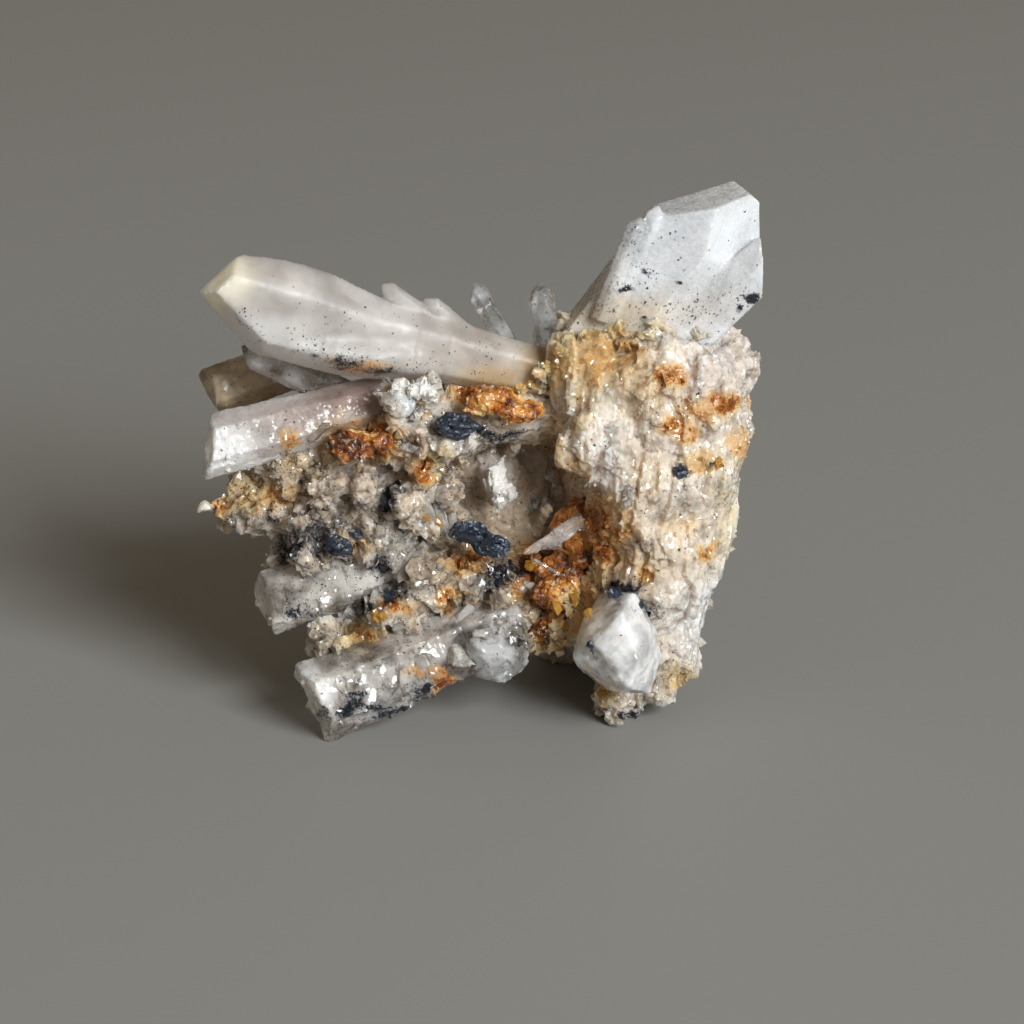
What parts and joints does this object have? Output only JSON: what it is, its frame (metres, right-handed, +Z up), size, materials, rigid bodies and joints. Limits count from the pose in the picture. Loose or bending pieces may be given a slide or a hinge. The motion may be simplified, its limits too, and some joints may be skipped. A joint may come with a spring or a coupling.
{
  "type": "limonite with quartz specimen",
  "caption": "Hand specimen of sugary and crystallised quartz with brown limonite and black oxide lumps in an open hollow, resting on three small flats.",
  "frame": {"origin": "centre of the bounding box at its base, on the surface that the specimen rests on", "axes": "+Z up, -Y towards the display face with the hollow, +X to the right of that face"},
  "size_m": [0.0708, 0.0388, 0.0677],
  "materials": {
    "milky_quartz": "milky, translucent, satin crystal faces",
    "clear_quartz": "clear, glossy, striated",
    "smoky_quartz": "smoky brown, glossy",
    "sugary_quartz": "sugary, sparkling, stained honey and rust in places",
    "black_oxide": "blue-black, submetallic",
    "limonite": "earthy, brown to orange"
  },
  "bodies": {
    "root": {"great_crystal": "milky_quartz", "wing_crystal": "milky_quartz", "upper_ledge_crystal": "milky_quartz", "middle_ledge_crystal": "milky_quartz", "left_foot_crystal": "clear_quartz", "right_foot_crystal": "clear_quartz", "facet_crystal": "clear_quartz", "spike_crystal": "clear_quartz", "smoky_crystal": "smoky_quartz", "glassy_crystal": "clear_quartz", "left_standing_crystal": "clear_quartz", "right_standing_crystal": "clear_quartz", "hollow_crust": "clear_quartz", "dark_lump_upper": "black_oxide", "dark_lump_lower": "black_oxide", "dark_lump_left": "black_oxide", "limonite_left": "limonite", "limonite_bridge": "limonite", "limonite_hollow": "limonite", "quartz_mass": "sugary_quartz"}
  },
  "joints": []
}
